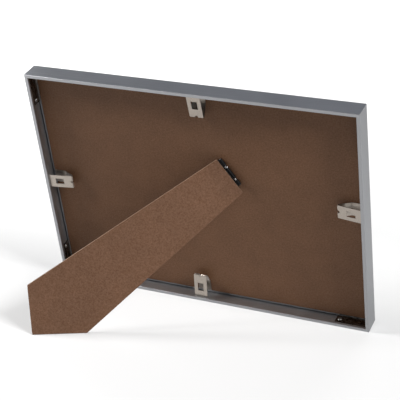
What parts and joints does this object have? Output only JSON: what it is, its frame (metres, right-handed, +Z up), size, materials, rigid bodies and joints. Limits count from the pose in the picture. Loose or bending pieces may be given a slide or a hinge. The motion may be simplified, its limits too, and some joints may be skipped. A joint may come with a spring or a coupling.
{
  "type": "picture frame",
  "caption": "Metal picture frame with glass, a hardboard back held by folded spring clips, and a hinged easel strut that stands it upright or on its side.",
  "frame": {"origin": "middle of the footprint on the surface it stands on, between the lower rail's rear edge and the strut's foot", "axes": "+X to the right as seen from the picture side, +Y to the rear, towards the strut, +Z up; the frame leans back"},
  "size_m": [0.304, 0.1436, 0.2143],
  "materials": {
    "rail_aluminium": "fine satin anodised",
    "bracket_steel": "dark oiled sheet steel",
    "screw_steel": "bright zinc plated",
    "clip_steel": "warm nickel plated spring steel",
    "hinge_black": "black lacquered steel",
    "pin_steel": "bright drawn wire",
    "clear_glass": "clear float glass",
    "white_paper": "plain uncoated paper",
    "hardboard": "smooth brown hardboard"
  },
  "bodies": {
    "frame": {"rail_top": "rail_aluminium", "rail_bottom": "rail_aluminium", "rail_left": "rail_aluminium", "rail_right": "rail_aluminium", "corner_bracket_top_left": "bracket_steel", "corner_bracket_top_right": "bracket_steel", "corner_bracket_bottom_left": "bracket_steel", "corner_bracket_bottom_right": "bracket_steel", "bracket_screws": "screw_steel", "front_glass": "clear_glass", "picture_sheet": "white_paper", "back_board": "hardboard", "hinge_board_leaf": "hinge_black", "hinge_pin": "pin_steel", "hinge_rivets": "hinge_black"},
    "strut": {"strut_leg": "hardboard", "hinge_strut_leaf": "hinge_black"},
    "clip_top": {"spring_clip_top": "clip_steel"},
    "clip_bottom": {"spring_clip_bottom": "clip_steel"},
    "clip_left": {"spring_clip_left": "clip_steel"},
    "clip_right": {"spring_clip_right": "clip_steel"}
  },
  "joints": [
    {"name": "strut_hinge", "type": "hinge", "parent": "frame", "child": "strut", "pos_m": [-0.0313, -0.03075, 0.13535], "axis": [-0.5776, -0.207, -0.7896], "range_deg": [0, 36.1]},
    {"name": "clip_top_slide", "type": "slide", "parent": "frame", "child": "clip_top", "axis": [0, -0.2536, -0.9673], "range_m": [0, 0.006]},
    {"name": "clip_bottom_slide", "type": "slide", "parent": "frame", "child": "clip_bottom", "axis": [0, 0.2536, 0.9673], "range_m": [0, 0.006]},
    {"name": "clip_left_slide", "type": "slide", "parent": "frame", "child": "clip_left", "axis": [1, 0, 0], "range_m": [0, 0.006]},
    {"name": "clip_right_slide", "type": "slide", "parent": "frame", "child": "clip_right", "axis": [-1, 0, 0], "range_m": [0, 0.006]}
  ]
}
